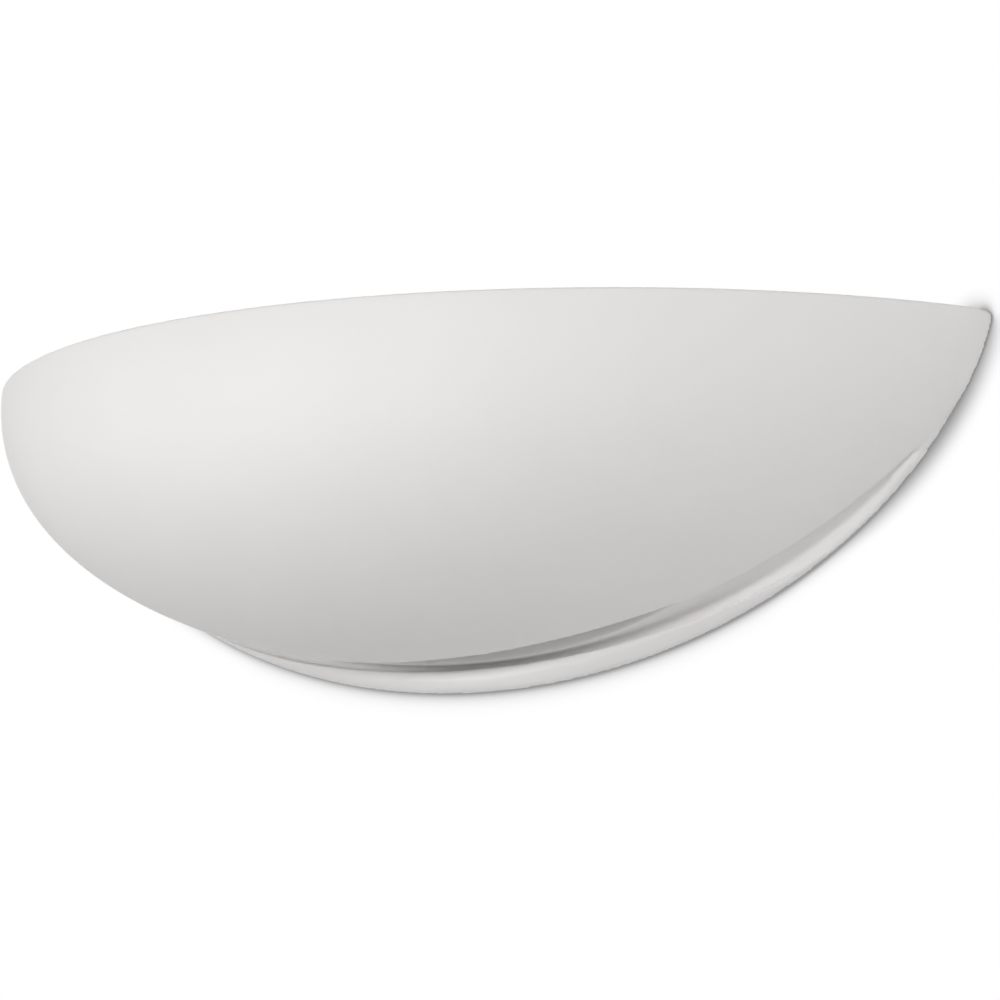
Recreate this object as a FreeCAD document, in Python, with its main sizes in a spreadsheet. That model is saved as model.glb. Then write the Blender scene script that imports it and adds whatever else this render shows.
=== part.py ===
import FreeCAD, Part
import math
import os
import re
import Sketcher

# Uplighter wall sconce: a cast ceramic half bowl that hangs on a steel wall bracket, with an
# E27 lampholder and lamp lying along it. Millimetres. The origin is midway between the two wall
# fixings, on the wall. +Z is up, the wall is the plane Y = 0, and the front faces -Y.

SIZES = {
    # bowl skin: a tilted ellipsoid, cut off by the rim plane above and the wall behind
    "rim_height": 25.0,          # rim above the wall fixings
    "rim_half_width": 190.0,     # centre to corner, where the rim meets the wall
    "rim_corner_radius": 3.5,
    "skin_radius_x": 209.4,
    "skin_radius_y": 250.0,
    "skin_radius_z": 113.5,
    "skin_centre_back": 95.35,   # centre behind the wall plane
    "skin_centre_rise": 38.1,    # centre above the rim
    "skin_tilt": 17.4,           # degrees
    "skin_thickness": 6.0,
    # back lip, the crescent that stands against the wall below the bowl
    "lip_radius_x": 193.5,
    "lip_radius_z": 124.1,
    "lip_centre_rise": 23.4,
    "lip_edge_depth": 30.0,      # how fast the lip's outer edge rounds over
    "lip_slope": 4.3,            # degrees between the lip's front face and the wall
    "ridge_radius_x": 162.8,     # the lip's inner edge
    "ridge_radius_z": 65.0,
    "ridge_centre_drop": 28.7,
    "lip_web": 2.5,              # ceramic left behind the groove
    # groove between the bowl and the lip
    "crease_slope": 16.9,        # degrees between the groove's upper edge and the wall
    "crease_drop": 26.0,         # where that edge reaches the wall, below the rim
    "groove_depth": 1.5,
    # light slot through the bottom of the groove
    "slot_half_length": 88.0,
    "slot_end_depth": 18.0,
    "slot_front_bulge": 9.5,
    "slot_back_bulge": 10.0,
    # ears inside the bowl, with the keyholes it hangs by
    "ear_inner_x": 114.0,
    "ear_standoff": 5.0,
    "ear_thickness": 6.0,
    "ear_top": 10.0,
    "ear_bottom": 19.0,
    "keyhole_radius": 5.6,
    "keyhole_lift": 8.0,
    "hang_clearance": 0.3,
    # wall bracket and its hanging studs
    "bracket_half_length": 138.0,
    "bracket_half_height": 15.0,
    "bracket_thickness": 1.5,
    "bracket_corner_radius": 8.0,
    "fixing_half_spacing": 100.0,
    "fixing_slot_width": 4.8,
    "fixing_slot_length": 14.0,
    "stud_x": 128.0,
    "stud_shank_radius": 2.5,
    "stud_tenon_radius": 2.0,
    "stud_head_radius": 4.8,
    "stud_head_length": 2.5,
    "stud_head_dome": 0.8,
    "stud_head_gap": 0.4,
    # cable bush in the middle of the bracket
    "bush_bore_radius": 4.5,
    "bush_barrel_radius": 7.0,
    "bush_flange_radius": 9.0,
    "bush_flange_length": 2.0,
    # arm that carries the lampholder
    "arm_thickness": 1.5,
    "arm_x": 86.5,               # centre to the face that the lampholder stands on
    "arm_length": 80.0,
    "arm_half_height": 14.5,
    "arm_foot_length": 22.0,
    "arm_bend_radius": 2.5,
    "arm_corner_radius": 9.0,
    "rivet_radius": 1.6,
    "rivet_head_radius": 3.0,
    "rivet_head_length": 1.2,
    "rivet_half_spacing": 4.5,
    "rivet_drop": 5.5,
    # lampholder, along the lamp's axis
    "lamp_drop": 35.0,           # lamp axis below the rim
    "lamp_depth": 62.0,          # lamp axis in front of the wall
    "holder_base_radius": 20.0,
    "holder_base_length": 15.0,
    "holder_body_radius": 18.5,
    "holder_length": 39.0,
    "holder_bore_radius": 14.8,
    "holder_floor": 11.5,
    "holder_well_radius": 12.0,
    "holder_well_depth": 2.5,
    "holder_edge": 1.0,
    "shell_length": 24.0,
    "shell_crest_radius": 13.4,
    "shell_wall": 0.4,
    "tongue_width": 6.0,
    "tongue_foot_end": 10.5,
    "tongue_bend": 5.0,
    "tongue_tip": 3.5,
    "tongue_thickness": 0.5,
    "tongue_gap": 0.3,
    "tongue_rivet_radius": 1.3,
    "tongue_rivet_head_radius": 2.2,
    "tongue_rivet_head_length": 0.7,
    "tongue_rivet_depth": 2.5,
    "insert_radius": 3.2,
    "insert_length": 5.5,
    "fixing_screw_radius": 2.0,
    "fixing_screw_length": 6.0,
    "fixing_screw_head_radius": 3.8,
    "fixing_screw_head_length": 2.4,
    "fixing_screw_half_spacing": 10.0,
    "clamp_width": 6.4,
    "clamp_height": 5.0,
    "clamp_length": 9.0,
    "clamp_half_spacing": 6.0,
    "clamp_inset": 8.0,
    "clamp_lift": 1.8,
    "clamp_bore_radius": 1.4,
    "clamp_screw_radius": 1.3,
    "clamp_screw_head_radius": 2.2,
    "clamp_screw_head_length": 1.4,
    "clamp_clearance": 0.3,
    # lamp, from its tip contact
    "lamp_tip_lift": 15.0,       # tip above the lampholder's base
    "lamp_length": 96.0,
    "globe_radius": 28.0,
    "globe_wall": 1.2,
    "neck_height": 50.0,
    "housing_start": 27.5,
    "housing_start_radius": 14.0,
    "housing_wall": 1.6,
    "housing_plug_length": 7.5,
    "housing_ledge": 4.0,
    "cap_radius": 13.1,
    "cap_wall": 0.4,
    "thread_depth": 0.9,
    "thread_pitch": 3.63,
    "thread_start": 8.0,
    "cap_shoulder_height": 4.6,
    "cap_shoulder_radius": 10.8,
    "insulator_thickness": 1.4,
    "tip_radius": 4.6,
    "tip_height": 1.8,
    "tip_edge": 0.8,
    "tip_pin_radius": 1.2,
    "board_thickness": 1.6,
    "board_clearance": 0.4,
    "chip_size": 3.0,
    "chip_height": 0.8,
    "chip_circle": 12.0,
    "driver_width": 20.0,
    "driver_length": 26.0,
    "driver_thickness": 1.2,
    "driver_start": 17.0,
    "capacitor_radius": 4.0,
    "capacitor_length": 11.0,
    "capacitor_start": 28.0,
    # terminal block
    "block_centre_x": 40.0,
    "block_pitch": 10.0,
    "block_end": 6.0,
    "block_depth": 16.0,
    "block_half_height": 9.0,
    "pole_depth": 6.5,           # pole axis in front of the bracket
    "pole_radius": 3.0,
    "pole_bore_radius": 1.5,
    "pole_half_length": 8.0,
    "pole_screw_radius": 1.5,
    "pole_screw_head_radius": 1.9,
    "pole_screw_head_length": 2.2,
    "pole_screw_half_spacing": 4.4,
    "pole_clearance": 0.15,
    "block_screw_radius": 1.5,
    "block_screw_head_radius": 2.8,
    "block_screw_head_length": 1.8,
    "block_screw_seat": 4.0,
    # earth point
    "earth_x": 30.0,
    "earth_rise": 5.0,
    "earth_screw_radius": 2.0,
    "earth_head_radius": 4.0,
    "earth_head_length": 2.6,
    "earth_washer_radius": 4.5,
    "earth_washer_length": 0.8,
    "lug_ring_radius": 4.2,
    "lug_thickness": 0.8,
    "lug_barrel_radius": 2.0,
    "lug_barrel_start": 5.2,
    "lug_barrel_length": 6.5,
    "lug_barrel_gap": 0.2,
    # internal leads
    "lead_radius": 1.1,
    "earth_run": 12.3,           # level of each lead's run below the fixings
    "neutral_run": 16.0,
    "live_run": 19.6,
    "lead_end": 1.0,             # lead tips below the block's middle
    "lead_bend_gap": 8.0,
    "lead_rise_start": 27.0,     # where the leads climb to the lampholder, in front of the wall
    "lead_rise_end": 37.0,
    "tie_x": 48.0,
    "tie_width": 2.5,
    "tie_thickness": 1.0,
    "tie_clearance": 0.1,
    # fasteners
    "blade_width": 0.8,          # screwdriver slots
    "blade_depth": 0.7,
    "screw_edge": 0.3,
    "thread_fit": 0.05,          # between a screw and its hole
}

REACH = 400.0    # length of the cutting blocks, past every face they cut
CHIP_COUNT = 8
POLES = (-1, 0, 1)
SIDES = (-1, 1)

doc = FreeCAD.newDocument("uplighter_wall_sconce")
sheet = doc.addObject("Spreadsheet::Sheet", "dim")
for row, (alias, size) in enumerate(SIZES.items(), start=1):
    sheet.set(f"A{row}", alias)
    sheet.set(f"B{row}", str(size))
    sheet.setAlias(f"B{row}", alias)
doc.recompute()

TURNS = {
    "up": FreeCAD.Rotation(),
    "forward": FreeCAD.Rotation(FreeCAD.Vector(1, 0, 0), 90),
    "right": FreeCAD.Rotation(FreeCAD.Vector(0, 1, 0), 90),
    "left": FreeCAD.Rotation(FreeCAD.Vector(0, 1, 0), -90),
    "down": FreeCAD.Rotation(FreeCAD.Vector(1, 0, 0), 180),
}
nodes = []


def bound(text):
    """Point each size named in an expression at its cell in the sheet."""
    return re.sub(r"[A-Za-z_]+", lambda m: f"dim.{m[0]}" if m[0] in SIZES else m[0], str(text))


def value(text):
    """Work out an expression from the sheet, for shapes made in code."""
    result = sheet.evalExpression(bound(text))
    return float(getattr(result, "Value", result))


def bind(obj, **sizes):
    """Tie properties of an object to expressions in the sheet's sizes."""
    for prop, text in sizes.items():
        obj.setExpression(prop, bound(text))
    return obj


def place(obj, at):
    """Tie an object's position to three expressions."""
    for axis, text in zip("xyz", at):
        obj.setExpression(f"Placement.Base.{axis}", bound(text))
    return obj


def keep(obj, node):
    """Give a finished sub-part its node name."""
    obj.Label = node
    nodes.append(obj)
    return obj


# Part primitives and booleans

def cylinder(name, turn, radius, length, at):
    obj = doc.addObject("Part::Cylinder", name)
    obj.Placement = FreeCAD.Placement(FreeCAD.Vector(), TURNS[turn])
    bind(obj, Radius=radius, Height=length)
    return place(obj, at)


def block(name, size, at):
    obj = doc.addObject("Part::Box", name)
    bind(obj, Length=size[0], Width=size[1], Height=size[2])
    return place(obj, at)


def ellipsoid(name, radii, at, tilt="0"):
    """Ellipsoid with radii along X, Y and Z, tilted about X."""
    obj = doc.addObject("Part::Ellipsoid", name)
    obj.Angle1 = -90
    obj.Angle2 = 90
    obj.Angle3 = 360
    obj.Placement = FreeCAD.Placement(FreeCAD.Vector(), FreeCAD.Rotation(FreeCAD.Vector(1, 0, 0), 1))
    obj.setExpression("Placement.Rotation.Angle", bound(tilt))
    bind(obj, Radius2=radii[0], Radius3=radii[1], Radius1=radii[2])
    return place(obj, at)


def leaning_block(name, slope, top):
    """Everything behind a plane that leaves the wall at the height top and leans out downwards."""
    obj = doc.addObject("Part::Box", name)
    obj.Placement = FreeCAD.Placement(FreeCAD.Vector(), FreeCAD.Rotation(FreeCAD.Vector(1, 0, 0), -1))
    obj.setExpression("Placement.Rotation.Angle", bound(f"-({slope})"))
    bind(obj, Length=2 * REACH, Width=REACH, Height=REACH)
    return place(obj, (-REACH, f"-{REACH} * sin({slope})", f"{top} - {REACH} * cos({slope})"))


def fuse(name, shapes):
    obj = doc.addObject("Part::MultiFuse", name)
    obj.Shapes = shapes
    return obj


def common(name, shapes):
    obj = doc.addObject("Part::MultiCommon", name)
    obj.Shapes = shapes
    return obj


def cut(name, base, tools):
    obj = doc.addObject("Part::Cut", name)
    obj.Base = base
    obj.Tool = tools[0] if len(tools) == 1 else fuse(f"{name}_tools", tools)
    return obj


def group(name, shapes):
    """Several separate solids in one sub-part."""
    obj = doc.addObject("Part::Compound", name)
    obj.Links = shapes
    return obj


# PartDesign bodies and sketches

def new_body(name, turn="up", at=("0", "0", "0")):
    obj = doc.addObject("PartDesign::Body", name)
    obj.Placement = FreeCAD.Placement(FreeCAD.Vector(), TURNS[turn])
    return place(obj, at)


def sketch_on(body, name, role, offset="0"):
    """Sketch on one of the body's own origin planes, moved along its normal."""
    plane = next(feature for feature in body.Origin.OriginFeatures if feature.Role == role)
    obj = body.newObject("Sketcher::SketchObject", name)
    obj.AttachmentSupport = [(plane, "")]
    obj.MapMode = "FlatFace"
    obj.setExpression("AttachmentOffset.Base.z", bound(offset))
    return obj


def pin_point(sketch, geometry, corner, at):
    """Fix one point of a sketch at two expressions from the sketch's origin."""
    for kind, axis_line, text in zip(("DistanceX", "DistanceY"), (-2, -1), at):
        if str(text) == "0":
            sketch.addConstraint(Sketcher.Constraint("PointOnObject", geometry, corner, axis_line))
        else:
            rule = Sketcher.Constraint(kind, -1, 1, geometry, corner, value(text))
            index = sketch.addConstraint(rule)
            sketch.setExpression(f"Constraints[{index}]", bound(text))


def polygon(sketch, points):
    """Closed outline of straight lines whose corners are expressions."""
    corners = [FreeCAD.Vector(value(x), value(y), 0) for x, y in points]
    first = sketch.GeometryCount
    count = len(points)
    for i in range(count):
        sketch.addGeometry(Part.LineSegment(corners[i], corners[(i + 1) % count]), False)
    for i in range(count):
        following = first + (i + 1) % count
        sketch.addConstraint(Sketcher.Constraint("Coincident", first + i, 2, following, 1))
        pin_point(sketch, first + i, 1, points[i])
    return sketch


def circle(sketch, centre, radius):
    middle = FreeCAD.Vector(value(centre[0]), value(centre[1]), 0)
    index = sketch.addGeometry(Part.Circle(middle, FreeCAD.Vector(0, 0, 1), value(radius)), False)
    pin_point(sketch, index, 3, centre)
    rule = sketch.addConstraint(Sketcher.Constraint("Radius", index, value(radius)))
    sketch.setExpression(f"Constraints[{rule}]", bound(radius))
    return sketch


def rectangle(sketch, x1, y1, x2, y2):
    return polygon(sketch, [(x1, y1), (x2, y1), (x2, y2), (x1, y2)])


def pad(body, sketch, length, midplane=False):
    obj = body.newObject("PartDesign::Pad", f"{sketch.Name}_pad")
    obj.Profile = sketch
    obj.Midplane = midplane
    obj.setExpression("Length", bound(length))
    return obj


def pocket(body, sketch, length, reverse=False):
    obj = body.newObject("PartDesign::Pocket", f"{sketch.Name}_pocket")
    obj.Profile = sketch
    obj.Reversed = reverse
    obj.setExpression("Length", bound(length))
    return obj


def revolve(body, sketch):
    """Turn a profile about the sketch's vertical axis."""
    obj = body.newObject("PartDesign::Revolution", f"{sketch.Name}_turned")
    obj.Profile = sketch
    obj.ReferenceAxis = (sketch, ["V_Axis"])
    obj.Angle = 360
    return obj


def fillet(body, base, edges, radius):
    obj = body.newObject("PartDesign::Fillet", f"{base.Name}_rounded")
    obj.Base = (base, edges)
    obj.setExpression("Radius", bound(radius))
    return obj


def edges_along(feature, direction, where=lambda point: True):
    """Names of a feature's straight edges that run along a direction and lie where asked."""
    names = []
    for index, edge in enumerate(feature.Shape.Edges, start=1):
        if edge.Curve.TypeId != "Part::GeomLine":
            continue
        run = edge.Vertexes[1].Point - edge.Vertexes[0].Point
        if run.normalize().cross(direction).Length < 1e-6 and where(edge.CenterOfMass):
            names.append(f"Edge{index}")
    return names


def turned(name, profile, turn="up", at=("0", "0", "0")):
    """Body turned from one closed profile of (radius, height) corners."""
    body = new_body(name, turn, at)
    revolve(body, polygon(sketch_on(body, f"{name}_profile", "XZ_Plane"), profile))
    return body


def screw(name, turn, at, shank, head):
    """Slotted screw that starts at its tip; shank and head are (radius, length)."""
    top = f"{shank[1]} + {head[1]}"
    body = turned(name, [
        ("0", "0"), (f"{shank[0]} - thread_fit", "0"), (f"{shank[0]} - thread_fit", shank[1]),
        (head[0], shank[1]), (head[0], f"{top} - screw_edge"), (f"{head[0]} - screw_edge", top), ("0", top),
    ], turn, at)
    slot = sketch_on(body, f"{name}_driver_slot", "XY_Plane", top)
    rectangle(slot, "-blade_width / 2", f"-2 * ({head[0]})", "blade_width / 2", f"2 * ({head[0]})")
    pocket(body, slot, "blade_depth")
    return body


# Bowl

def skin(name, inset):
    radii = [f"skin_radius_{axis} - ({inset})" for axis in "xyz"]
    return ellipsoid(name, radii, ("0", "skin_centre_back", "rim_height + skin_centre_rise"), "skin_tilt")


def below_rim(name):
    """Space in front of the wall and under the rim plane, with its two upper corners rounded."""
    inner = "rim_half_width - rim_corner_radius"
    shapes = [
        block(f"{name}_middle", (f"2 * ({inner})", REACH, REACH),
              (f"-({inner})", -REACH, f"rim_height - {REACH}")),
        block(f"{name}_wide", ("2 * rim_half_width", REACH, REACH),
              ("-rim_half_width", -REACH, f"rim_height - rim_corner_radius - {REACH}")),
    ]
    for side in SIDES:
        shapes.append(cylinder(f"{name}_corner_{side + 1}", "forward", "rim_corner_radius", REACH,
                               (f"{side} * ({inner})", "0", "rim_height - rim_corner_radius")))
    return fuse(name, shapes)


def light_slot():
    """Lens between two upright cylinders that meet at the slot's two ends."""
    shapes = []
    for name, bulge, way in (("slot_front", "slot_front_bulge", -1), ("slot_back", "slot_back_bulge", 1)):
        radius = f"(slot_half_length ^ 2 + {bulge} ^ 2) / (2 * {bulge})"
        centre = f"-slot_end_depth + {way} * ({bulge} - {radius})"
        shapes.append(cylinder(name, "up", radius, "skin_radius_z", ("0", centre, "-skin_radius_z - ear_bottom")))
    return common("light_slot", shapes)


def keyhole(side):
    """Round entry with a narrower slot above it, through one ear."""
    width = "stud_shank_radius + hang_clearance"
    depth = "ear_thickness + 2"
    start = "-ear_standoff + 1"
    x = f"{side} * stud_x"
    return [
        cylinder(f"keyhole_entry_{side + 1}", "forward", "keyhole_radius", depth, (x, start, "-keyhole_lift")),
        cylinder(f"keyhole_seat_{side + 1}", "forward", width, depth, (x, start, "0")),
        block(f"keyhole_neck_{side + 1}", (f"2 * ({width})", depth, "keyhole_lift"),
              (f"{x} - ({width})", f"{start} - ({depth})", "-keyhole_lift")),
    ]


def bowl_body():
    room = below_rim("rim_clip")
    groove = cut("groove", leaning_block("crease_block", "crease_slope", "rim_height - crease_drop"),
                 [skin("groove_core", "groove_depth")])
    outer = cut("grooved_skin", common("skin_half", [skin("skin_outside", "0"), room]), [groove])

    lip_form = ellipsoid("lip_form", ("lip_radius_x", "lip_edge_depth", "lip_radius_z"),
                         ("0", "0", "rim_height + lip_centre_rise"))
    lip = common("lip", [lip_form, below_rim("lip_clip"), leaning_block("lip_block", "lip_slope", "rim_height")])
    ridge_line = doc.addObject("Part::Ellipse", "ridge_line")
    ridge_line.Placement = FreeCAD.Placement(FreeCAD.Vector(), TURNS["forward"])
    bind(ridge_line, MajorRadius="ridge_radius_x", MinorRadius="ridge_radius_z")
    place(ridge_line, ("0", "-lip_web", "rim_height - ridge_centre_drop"))
    ridge_hole = doc.addObject("Part::Extrusion", "ridge_hole")
    ridge_hole.Base = ridge_line
    ridge_hole.DirMode = "Custom"
    ridge_hole.Dir = FreeCAD.Vector(0, -1, 0)
    ridge_hole.LengthFwd = REACH
    ridge_hole.Solid = True
    lip_ring = cut("lip_ring", lip, [ridge_hole])

    hollow = skin("hollow", "skin_thickness")
    shell = cut("shell", fuse("cast_outside", [outer, lip_ring]), [hollow, light_slot()])
    ear_length = "rim_half_width - ear_inner_x"
    ears = []
    holes = []
    for side in SIDES:
        left = "ear_inner_x" if side > 0 else "-rim_half_width"
        ears.append(block(f"ear_{side + 1}", (ear_length, "ear_thickness", "ear_top + ear_bottom"),
                          (left, "-ear_standoff - ear_thickness", "-ear_bottom")))
        holes += keyhole(side)
    ear_clip = skin("ear_clip", "skin_thickness / 2")
    trimmed = common("trimmed_ears", [fuse("ears", ears), ear_clip])
    keep(cut("bowl", fuse("shell_and_ears", [shell, trimmed]), holes), "bowl_body")


# Wall bracket

def bracket_front(depth="0"):
    return f"-bracket_thickness - ({depth})"


def slot_outline(sketch, centre_x, half_length, radius):
    """Straight slot along the sketch's horizontal axis, with round ends."""
    x = value(centre_x)
    run = value(half_length)
    r = value(radius)
    up = FreeCAD.Vector(0, 0, 1)
    first = sketch.GeometryCount
    right = Part.Circle(FreeCAD.Vector(x + run - r, 0, 0), up, r)
    left = Part.Circle(FreeCAD.Vector(x - run + r, 0, 0), up, r)
    sketch.addGeometry(Part.ArcOfCircle(right, -math.pi / 2, math.pi / 2), False)
    sketch.addGeometry(Part.LineSegment(FreeCAD.Vector(x + run - r, r, 0), FreeCAD.Vector(x - run + r, r, 0)), False)
    sketch.addGeometry(Part.ArcOfCircle(left, math.pi / 2, 3 * math.pi / 2), False)
    sketch.addGeometry(Part.LineSegment(FreeCAD.Vector(x - run + r, -r, 0), FreeCAD.Vector(x + run - r, -r, 0)), False)
    for i in range(4):
        sketch.addConstraint(Sketcher.Constraint("Tangent", first + i, 2, first + (i + 1) % 4, 1))
    pin_point(sketch, first, 3, (f"{centre_x} + {half_length} - {radius}", "0"))
    pin_point(sketch, first + 2, 3, (f"{centre_x} - {half_length} + {radius}", "0"))
    rule = sketch.addConstraint(Sketcher.Constraint("Radius", first, r))
    sketch.setExpression(f"Constraints[{rule}]", bound(radius))


def wall_bracket():
    body = new_body("bracket")
    plate = rectangle(sketch_on(body, "plate", "XZ_Plane"), "-bracket_half_length", "-bracket_half_height",
                      "bracket_half_length", "bracket_half_height")
    strip = pad(body, plate, "bracket_thickness")
    doc.recompute()
    corners = edges_along(strip, FreeCAD.Vector(0, 1, 0))
    rounded = fillet(body, strip, corners, "bracket_corner_radius")
    body.Tip = rounded
    holes = sketch_on(body, "bracket_holes", "XZ_Plane")
    for side in SIDES:
        slot_outline(holes, f"{side} * fixing_half_spacing", "fixing_slot_length / 2", "fixing_slot_width / 2")
        circle(holes, (f"{side} * stud_x", "0"), "stud_tenon_radius")
        circle(holes, (rivet_x(), rivet_z(side)), "rivet_radius")
        circle(holes, (f"block_centre_x + {side} * block_pitch / 2", "0"), "block_screw_radius")
    circle(holes, ("0", "0"), "bush_barrel_radius")
    circle(holes, ("-earth_x", "earth_rise"), "earth_screw_radius")
    pocket(body, holes, "bracket_thickness", reverse=True)
    keep(body, "wall_bracket")


def hanging_studs():
    head_start = "ear_standoff + ear_thickness + stud_head_gap"
    profile = [
        ("0", "0"), ("stud_tenon_radius", "0"), ("stud_tenon_radius", "bracket_thickness"),
        ("stud_shank_radius", "bracket_thickness"), ("stud_shank_radius", head_start),
        ("stud_head_radius", head_start),
        ("stud_head_radius", f"{head_start} + stud_head_length - stud_head_dome"),
        ("stud_head_radius - stud_head_dome", f"{head_start} + stud_head_length"),
        ("0", f"{head_start} + stud_head_length"),
    ]
    studs = [turned(f"stud_{side + 1}", profile, "forward", (f"{side} * stud_x", "0", "0")) for side in SIDES]
    keep(group("studs", studs), "hanging_studs")


def cable_bush():
    profile = [
        ("bush_bore_radius", "0"), ("bush_barrel_radius", "0"), ("bush_barrel_radius", "bracket_thickness"),
        ("bush_flange_radius", "bracket_thickness"),
        ("bush_flange_radius", "bracket_thickness + bush_flange_length / 2"),
        ("bush_flange_radius - bush_flange_length / 2", "bracket_thickness + bush_flange_length"),
        ("bush_bore_radius", "bracket_thickness + bush_flange_length"),
    ]
    keep(turned("bush", profile, "forward"), "cable_bush")


# Lampholder arm

def rivet_x():
    return "-arm_x + arm_foot_length / 2"


def rivet_z(side):
    return f"-rivet_drop + {side} * rivet_half_spacing"


def lamp_z(shift="0"):
    return f"rim_height - lamp_drop + ({shift})"


def holder_arm():
    """Angle bracket: a foot on the wall bracket and an arm out towards the front."""
    body = new_body("arm", "up", ("0", "0", lamp_z()))
    outer_x = "-arm_x - arm_thickness"
    foot_end = "-arm_x - arm_thickness + arm_foot_length"
    foot_front = bracket_front("arm_thickness")
    profile = polygon(sketch_on(body, "arm_profile", "XY_Plane"), [
        (outer_x, bracket_front()), (foot_end, bracket_front()), (foot_end, foot_front),
        ("-arm_x", foot_front), ("-arm_x", "-arm_length"), (outer_x, "-arm_length"),
    ])
    angle = pad(body, profile, "2 * arm_half_height", midplane=True)
    doc.recompute()
    upright = FreeCAD.Vector(0, 0, 1)
    inner = value("-arm_x")
    near_bend = value("-bracket_thickness - 2 * arm_thickness")
    inner_bend = edges_along(angle, upright, lambda p: abs(p.x - inner) < 0.1 and p.y > near_bend)
    outer_bend = edges_along(angle, upright, lambda p: p.x < inner - 0.1 and p.y > near_bend)
    inside = fillet(body, angle, inner_bend, "arm_bend_radius")
    doc.recompute()
    outer_bend = edges_along(inside, upright, lambda p: p.x < inner - 0.1 and p.y > near_bend)
    outside = fillet(body, inside, outer_bend, "arm_bend_radius + arm_thickness")
    doc.recompute()
    across = FreeCAD.Vector(1, 0, 0)
    tip = edges_along(outside, across, lambda p: p.y < value("-arm_length") + 0.1)
    front = fillet(body, outside, tip, "arm_corner_radius")
    body.Tip = front
    doc.recompute()
    screw_holes = sketch_on(body, "arm_screw_holes", "YZ_Plane", outer_x)
    for side in SIDES:
        circle(screw_holes, ("-lamp_depth", f"{side} * fixing_screw_half_spacing"), "fixing_screw_radius")
    pocket(body, screw_holes, "arm_thickness", reverse=True)
    rivet_holes = sketch_on(body, "arm_rivet_holes", "XZ_Plane", "bracket_thickness")
    for side in SIDES:
        circle(rivet_holes, (rivet_x(), f"{rivet_z(side)} - ({lamp_z()})"), "rivet_radius")
    pocket(body, rivet_holes, "arm_thickness", reverse=True)
    keep(body, "holder_arm")


def arm_rivets():
    stack = "bracket_thickness + arm_thickness"
    profile = [
        ("0", "0"), ("rivet_radius", "0"), ("rivet_radius", stack), ("rivet_head_radius", stack),
        ("rivet_head_radius", f"{stack} + rivet_head_length / 2"),
        ("rivet_head_radius - rivet_head_length / 2", f"{stack} + rivet_head_length"),
        ("0", f"{stack} + rivet_head_length"),
    ]
    rivets = [turned(f"rivet_{side + 1}", profile, "forward", (rivet_x(), "0", rivet_z(side))) for side in SIDES]
    keep(group("rivets", rivets), "arm_rivets")


# Lampholder: heights are measured along +X from the face that stands on the arm

def on_lamp_axis(height="0", forward="0", up="0"):
    """Point at a height above the arm's face, shifted towards the front and upwards."""
    return (f"-arm_x + ({height})", f"-lamp_depth - ({forward})", lamp_z(up))


WELL_FLOOR = "holder_floor - holder_well_depth"
RIVET_SPOT = "(tongue_foot_end + tongue_bend) / 2"


def lampholder_body():
    outline = [
        ("0", "0"), ("holder_base_radius", "0"), ("holder_base_radius", "holder_base_length - holder_edge"),
        ("holder_base_radius - holder_edge", "holder_base_length"), ("holder_body_radius", "holder_base_length"),
        ("holder_body_radius", "holder_length - holder_edge"),
        ("holder_body_radius - holder_edge", "holder_length"), ("holder_bore_radius", "holder_length"),
        ("holder_bore_radius", "holder_floor"), ("holder_well_radius", "holder_floor"),
        ("holder_well_radius", WELL_FLOOR), ("0", WELL_FLOOR),
    ]
    blank = turned("holder_blank", outline, "right", on_lamp_axis())
    tools = [cylinder("tongue_rivet_hole", "right", "tongue_rivet_radius", "tongue_rivet_depth",
                      on_lamp_axis(f"{WELL_FLOOR} - tongue_rivet_depth", "0", RIVET_SPOT))]
    for side in SIDES:
        tools.append(cylinder(f"insert_hole_{side + 1}", "right", "insert_radius", "insert_length",
                              on_lamp_axis("0", "0", f"{side} * fixing_screw_half_spacing")))
        inner = "clamp_half_spacing - clamp_width / 2 - clamp_clearance"
        near_z = inner if side > 0 else f"-({inner}) - holder_base_radius"
        tools.append(block(f"clamp_notch_{side + 1}",
                           ("clamp_height + 2 * clamp_clearance", "holder_base_radius", "holder_base_radius"),
                           on_lamp_axis("clamp_lift - clamp_clearance", "-clamp_inset", near_z)))
    keep(cut("holder", blank, tools), "lampholder_body")


def screw_shell():
    """Screw shell: a thin sleeve with a ring wave at each turn of the thread."""
    outer = "holder_bore_radius - thread_fit"
    valley = f"{outer} - shell_wall"
    bottom = "holder_floor"
    outline = [(outer, bottom), (outer, f"{bottom} + shell_length"), (valley, f"{bottom} + shell_length")]
    turns = int(value("shell_length / thread_pitch"))
    for turn in range(turns, 0, -1):
        crest = f"{bottom} + {turn - 0.5} * thread_pitch"
        for radius, shift in ((valley, 0.35), ("shell_crest_radius", 0.1), ("shell_crest_radius", -0.1), (valley, -0.35)):
            outline.append((radius, f"{crest} + {shift} * thread_pitch"))
    outline.append((valley, bottom))
    keep(turned("screw_shell", outline, "right", on_lamp_axis()), "lampholder_shell")


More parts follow.
